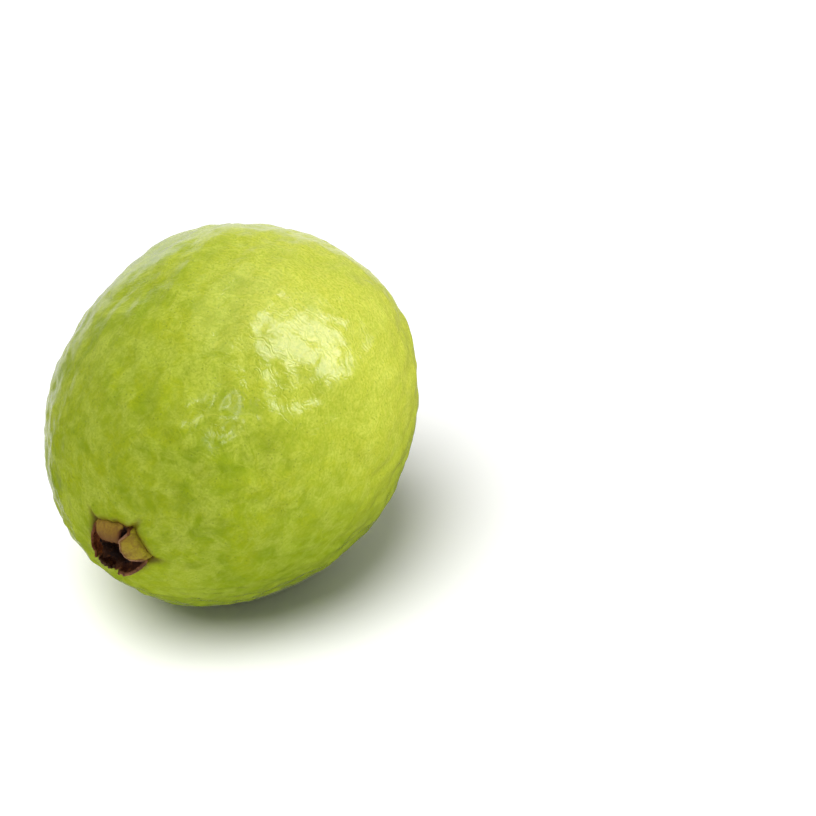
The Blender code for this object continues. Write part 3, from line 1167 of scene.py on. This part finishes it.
@dataclass(frozen=True)
class CalyxCrown:
    """The dried remains of the flower: a cup, five sepals, stamens and the style."""

    form: FruitForm
    lie: FruitFrame
    sepals: tuple[Sepal, ...] = (
        Sepal(
            "sepal_upper", "sepal_1", around=103, half_angle=33, length=5.1 * MM, lean=8, curl=134,
            bulge=0.80 * MM, thickness=0.85 * MM, tip_width=0.80, rounding=0.30, ragged=0.02, seed=41,
        ),
        Sepal(
            "sepal_right", "sepal_2", around=20, half_angle=33, length=5.1 * MM, lean=2, curl=106,
            bulge=0.85 * MM, thickness=0.80 * MM, tip_width=0.70, rounding=0.20, ragged=0.02, seed=52,
        ),
        Sepal(
            "sepal_lower", "sepal_3", around=-55, half_angle=42, length=4.3 * MM, lean=-28, curl=22,
            bulge=0.25 * MM, thickness=0.75 * MM, tip_width=0.76, rounding=0.22, ragged=0.08, seed=63,
        ),
        Sepal(
            "sepal_short", "sepal_4", around=-117, half_angle=21, length=3.2 * MM, lean=-10, curl=44,
            bulge=0.10 * MM, thickness=0.75 * MM, tip_width=0.75, rounding=0.30, ragged=0.14, seed=74,
        ),
        Sepal(
            "sepal_left", "sepal_5", around=178, half_angle=43, length=3.3 * MM, lean=-10, curl=30,
            bulge=0.25 * MM, thickness=0.60 * MM, tip_width=0.88, rounding=0.15, ragged=0.08, seed=85,
        ),
    )
    stamens: Threads = Threads(
        46, length=2.6 * MM, thickness=0.10 * MM, root=5.0 * MM, sunk=3.9 * MM, seed=17, steps=8, sides=5
    )
    style: Threads = Threads(
        1, length=3.8 * MM, thickness=0.45 * MM, root=0.8 * MM, sunk=4.9 * MM, seed=4, steps=20, sides=12
    )
    cup_turns: int = 180
    cup_rows: int = 72
    cup_profile: tuple[tuple[float, float], ...] = (
        (0.00, -4.6), (0.25, -4.6), (0.50, -4.5), (0.66, -3.9), (0.74, -2.4), (0.79, -1.2), (0.84, -0.4),
        (0.90, -0.2), (0.95, -0.7), (0.93, -2.4), (0.80, -4.6), (0.50, -5.4), (0.00, -5.6),
    )

    def cup(self) -> Shape:
        """The cup: a profile carried round the ring, higher at the corners, where two sepals meet.

        Each point of the profile is its share of the ring's radius and its height over the brim in mm.

        Returns:
            The cup's shape in the world. Its value "pale" is highest on the torn corners.
        """
        profile = smooth_profile(self.cup_profile, self.cup_rows)
        around = full_circle(self.cup_turns)
        share, height = np.maximum(profile[:, :1], 0.0), profile[:, 1:] * MM
        torn = self.form.ring.nearness(around, 7.5) * bell(share - 0.90, 0.09)
        radius = (share + 0.05 * torn) * self.form.ring.radius(around)
        points = around_axis(radius, around, self.form.brim + height)
        rough = ripples(points, 2.2 * MM, 0.8, 60, 91) + 0.5 * ripples(points, 0.9 * MM, 0.6, 60, 92)
        points[..., 2] += (0.22 * MM * ease(share, 0.0, 0.3) + 0.25 * MM * torn) * rough + 1.3 * MM * torn
        return closed_round(self.lie.lay(points), {"pale": torn})

    def build(self, finishes: dict[str, bpy.types.Material]) -> list[bpy.types.Object]:
        """Makes the crown's pieces.

        Args:
            finishes: the materials by the name of the piece that they are for.

        Returns:
            The pieces.
        """
        brim = self.form.brim
        pieces = [make_piece("cup_tissue", self.cup(), finishes["cup"], "dried_calyx_cup", "calyx_cup")]
        for sepal in self.sepals:
            pieces.append(sepal.build(self.form.ring, brim, self.lie, finishes[sepal.name]))
        threads = finishes["threads"]
        stamens, style = self.stamens.grow(brim, self.lie), self.style.grow(brim, self.lie)
        pieces.append(make_piece("stamen_threads", stamens, threads, "dried_style"))
        pieces.append(make_piece("style_tip", style, threads, "dried_style", "style_remnant"))
        return pieces


@dataclass(frozen=True)
class StemStub:
    """The stub of the stem: a corky foot in the cavity, a green shaft and the cut that frees the fruit.

    Each point of its profile is its radius and its height over the cavity's floor, in mm.
    """

    form: FruitForm
    lie: FruitFrame
    length: float = 10.0 * MM
    cut_radius: float = 2.85 * MM
    wood_radius: float = 2.9 * MM
    turns: int = 120
    rows: int = 150
    profile: tuple[tuple[float, float], ...] = (
        (0.0, 1.2), (2.6, 1.0), (3.9, 0.1), (3.7, -0.5), (3.1, -1.1), (2.75, -2.2), (2.6, -4.4), (2.65, -6.6),
        (2.85, -8.4), (3.05, -9.3), (3.0, -9.8), (2.75, -10.05), (2.2, -9.95), (1.0, -9.85), (0.5, -10.0),
        (0.0, -9.9),
    )

    def build(self, material: bpy.types.Material) -> bpy.types.Object:
        """Carries the profile round the axis, with ribs and a flare that are cosines of the angle round it.

        The shaft bends aside with the square of the way along it, and random relief roughens it and its cut.

        Args:
            material: what it is made of.

        Returns:
            The piece. Its value "cork" is high at both ends, "cut" on the cut, and "heart" grows to the axis.
        """
        seat = self.form.stem_cavity.depth - self.form.length / 2.0
        profile = smooth_profile(self.profile, self.rows)
        around = full_circle(self.turns)
        radius, height = np.maximum(profile[:, :1], 0.0) * MM, profile[:, 1:] * MM
        down = np.clip(-height / self.length, 0.0, 1.0)
        lower_end = (np.arange(self.rows)[:, None] > 0.70 * self.rows) & (down > 0.955)
        ribs = 0.05 * np.cos(3.0 * around + 1.0 + 0.8 * down) + 0.02 * np.cos(8.0 * around + 2.0)
        flare = 0.16 * bell(down, 0.12) * np.cos(2.0 * around + 0.7)
        wide = radius * (1.0 + ribs * ease(radius, 0.0, 2.0 * MM) + flare)
        bend = (0.5 * MM * down**2)[..., None] * np.array([1.0, -0.6, 0.0])
        points = around_axis(wide, around, seat + height) + bend
        rough = ripples(points * np.array([1.0, 1.0, 0.35]), 1.3 * MM, 0.9, 60, 57)
        points[..., 2] += 0.09 * MM * rough * ease(radius, 0.0, 0.8 * MM) * np.where(lower_end, 1.2, 0.0)
        points[..., :2] *= (1.0 + 0.018 * rough * ease(radius, 0.5 * MM, 2.0 * MM))[..., None]
        values = {
            "cork": np.maximum(bell(down, 0.14), ease(down, 0.88, 0.95)),
            "cut": np.where(lower_end & (radius < self.cut_radius), 1.0, 0.0),
            "heart": 1.0 - np.clip(radius / self.wood_radius, 0.0, 1.0),
        }
        shape = closed_round(self.lie.lay(points), values)
        return make_piece("stem_bark", shape, material, "green_wood", "stem_stub")


# ---------------------------------------------------------------- the studio


def stand(name: str, data: bpy.types.ID, place: Vector, away: Vector) -> bpy.types.Object:
    """Stands a lamp or the camera in its place.

    Args:
        name: its name.
        data: the light or the camera that it holds.
        place: where it stands.
        away: direction from what it faces to it.

    Returns:
        The lamp or the camera.
    """
    thing = bpy.data.objects.new(name, data)
    thing.location = place
    thing.rotation_euler = away.to_track_quat("Z", "Y").to_euler()
    bpy.context.scene.collection.objects.link(thing)
    return thing


@dataclass(frozen=True)
class Softbox:
    """A round or oval light: where it stands, seen from the fruit, its size and its power.

    mirrored says whether surfaces mirror it, and tall is its height over its width.
    """

    name: str
    azimuth: float
    elevation: float
    distance: float
    size: float
    power: float
    mirrored: bool = True
    tall: float = 1.0
    colour: Colour = (1.0, 1.0, 1.0)
    reach: Reach = Reach.FRUIT

    def build(self, target: Vector, lit: dict[Reach, bpy.types.Collection]) -> None:
        """Makes the light.

        Args:
            target: where it faces.
            lit: what the lights of each reach shine on.
        """
        light = bpy.data.lights.new(self.name, "AREA")
        light.shape = "ELLIPSE"
        light.size = self.size
        light.size_y = self.size * self.tall
        light.energy = self.power
        light.color = self.colour
        away = direction_of(self.azimuth, self.elevation)
        lamp = stand(self.name, light, target + away * self.distance, away)
        lamp.visible_glossy = self.mirrored
        lamp.light_linking.receiver_collection = lit[self.reach]


@dataclass(frozen=True)
class FloorLight:
    """A broad, even light for the floor alone, so that the fruit's shadow on it is soft and pale."""

    azimuth: float = -8.0
    elevation: float = 66.0
    spread: float = 46.0
    strength: float = 3.75
    reach: Reach = Reach.FLOOR

    def build(self, lit: dict[Reach, bpy.types.Collection]) -> None:
        """Makes the light.

        Args:
            lit: what the lights of each reach shine on.
        """
        light = bpy.data.lights.new("floor_light", "SUN")
        light.energy = self.strength
        light.angle = math.radians(self.spread)
        away = direction_of(self.azimuth, self.elevation)
        lamp = stand("floor_light", light, away, away)
        lamp.visible_glossy = False
        lamp.light_linking.receiver_collection = lit[self.reach]


@dataclass(frozen=True)
class Studio:
    """A pale floor, soft white light and the camera. Azimuth 0 is in front of the calyx end.

    glow_core is the cosine of the angle from the glow's middle within which it has its full strength.
    """

    azimuth: float = 27.4
    elevation: float = 32.0
    distance: float = 532.5 * MM
    lens: float = 100.0
    aim_right: float = 42.4 * MM
    aim_up: float = 1.6 * MM
    floor_size: float = 40.0
    floor_colour: Colour = (0.92, 0.92, 0.915)
    world_strength: float = 0.30
    ground_strength: float = 0.05
    glow_azimuth: float = -138.0
    glow_elevation: float = -14.0
    glow_spread: float = 36.0
    glow_core: float = 0.96
    glow_strength: float = 0.88
    lights: tuple[Softbox, ...] = (
        Softbox("key", 121, 46, 1.0, 0.46, 7.7, tall=1.9, colour=(1.0, 0.99, 0.96)),
        Softbox("glint", 38, 46, 1.0, 0.14, 0.55),
        Softbox("edge", -126, 14, 1.1, 0.40, 0.30, tall=1.6),
        Softbox("fill", -70, 40, 1.2, 1.00, 3.3, mirrored=False),
        Softbox("overhead", 175, 72, 1.5, 1.5, 4.6),
    )
    floor_light: FloorLight = FloorLight()

    def build(self, pieces: list[bpy.types.Object]) -> None:
        """Makes the floor, the world, the lights and the camera.

        Args:
            pieces: the fruit's pieces.
        """
        low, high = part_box("fruit_body")
        middle = Vector((0.0, 0.0, (low[2] + high[2]) / 2.0))
        lit = {reach: bpy.data.collections.new(reach.value) for reach in Reach}
        for piece in pieces:
            lit[Reach.FRUIT].objects.link(piece)
        lit[Reach.FLOOR].objects.link(self.build_floor())
        self.build_world()
        for light in self.lights:
            light.build(middle, lit)
        self.floor_light.build(lit)
        self.build_camera(middle)
        bpy.context.scene.view_settings.view_transform = "Standard"

    def build_floor(self) -> bpy.types.Object:
        """Makes a plain pale floor at the height of the flat spot, which the skin doesn't mirror.

        Returns:
            The floor.
        """
        half = self.floor_size / 2.0
        corners = [(-half, -half, 0.0), (half, -half, 0.0), (half, half, 0.0), (-half, half, 0.0)]
        mesh = bpy.data.meshes.new("floor")
        mesh.from_pydata(corners, [], [(0, 1, 2, 3)])
        material, sheet = start_material("floor_paint")
        surface = sheet.add("ShaderNodeBsdfPrincipled", {"Base Color": self.floor_colour, "Roughness": 0.55})
        sheet.add("ShaderNodeOutputMaterial", {"Surface": surface.outputs[0]})
        mesh.materials.append(material)
        floor = bpy.data.objects.new("floor", mesh)
        floor.visible_glossy = False
        bpy.context.scene.collection.objects.link(floor)
        return floor

    def build_world(self) -> None:
        """White light from above and the sides, nearly none from below, and a glow behind on the left."""
        world = bpy.data.worlds.new("studio")
        world.use_nodes = True
        sheet = NodeSheet(world.node_tree)
        direction = sheet.add("ShaderNodeTexCoord").outputs["Generated"]
        height = sheet.add("ShaderNodeSeparateXYZ", {"Vector": direction}).outputs["Z"]
        strength = sheet.spread(height, -0.15, 0.20, self.ground_strength, self.world_strength)
        nearness = sheet.toward(direction, direction_of(self.glow_azimuth, self.glow_elevation))
        outer = math.cos(math.radians(self.glow_spread))
        glow = sheet.spread(nearness, outer, self.glow_core, 0.0, self.glow_strength)
        sky = {"Color": (1.0, 1.0, 1.0), "Strength": sheet.plus(strength, glow)}
        background = sheet.add("ShaderNodeBackground", sky)
        sheet.add("ShaderNodeOutputWorld", {"Surface": background.outputs[0]})
        bpy.context.scene.world = world

    def build_camera(self, middle: Vector) -> None:
        """Makes a camera that looks past the fruit, which then stands left of the middle of its view.

        Args:
            middle: the fruit's middle.
        """
        away = direction_of(self.azimuth, self.elevation)
        right = direction_of(self.azimuth + 90.0, 0.0)
        aside = right * self.aim_right + away.cross(right) * self.aim_up
        data = bpy.data.cameras.new("camera")
        data.lens = self.lens
        data.sensor_width = 36.0
        data.clip_start = 0.02
        bpy.context.scene.camera = stand("camera", data, middle + aside + away * self.distance, away)


def dress(effects: Effects, lie: FruitFrame) -> dict[str, bpy.types.Material]:
    """Builds every finish.

    Args:
        effects: the shared node groups.
        lie: how the fruit lies.

    Returns:
        The materials by the name of the piece that they are for.
    """
    cup = DryFinish("calyx_cup_tissue", (0.024, 0.006, 0.003), (0.260, 0.085, 0.014))
    threads = DryFinish("stamen_tissue", (0.050, 0.016, 0.008), (0.200, 0.085, 0.030), 0.4 * MM, 0.02 * MM)
    sepals = (
        SepalFinish("sepal_upper", (0.480, 0.310, 0.036), (0.215, 0.095, 0.014), (0.130, 0.042, 0.010)),
        SepalFinish("sepal_right", (0.440, 0.380, 0.012), (0.400, 0.280, 0.020), (0.380, 0.185, 0.095)),
        SepalFinish("sepal_lower", (0.240, 0.100, 0.022), (0.230, 0.080, 0.020), (0.330, 0.145, 0.058)),
        SepalFinish("sepal_short", (0.240, 0.120, 0.035), (0.150, 0.065, 0.025), (0.110, 0.050, 0.020)),
        SepalFinish(
            "sepal_left", (0.260, 0.140, 0.030), (0.180, 0.060, 0.016), (0.190, 0.062, 0.016),
            inside=(0.130, 0.028, 0.007), inside_pale=(0.380, 0.120, 0.018),
        ),
    )
    finishes = {sepal.piece: sepal.build(effects) for sepal in sepals}
    finishes["skin"] = SkinFinish().build(effects, lie)
    finishes["stem"] = StemFinish().build(effects, lie)
    finishes["cup"] = cup.build(effects)
    finishes["threads"] = threads.build(effects)
    return finishes


def main() -> None:
    """Builds the guava and its studio."""
    logging.basicConfig(level=logging.INFO, format="%(message)s")
    form = FruitForm()
    lie = form.frame()
    finishes = dress(Effects(), lie)
    pieces = [FruitSkin(form, lie).build(finishes["skin"]), StemStub(form, lie).build(finishes["stem"])]
    pieces += CalyxCrown(form, lie).build(finishes)
    Studio().build(pieces)


if __name__ == "__main__":
    main()
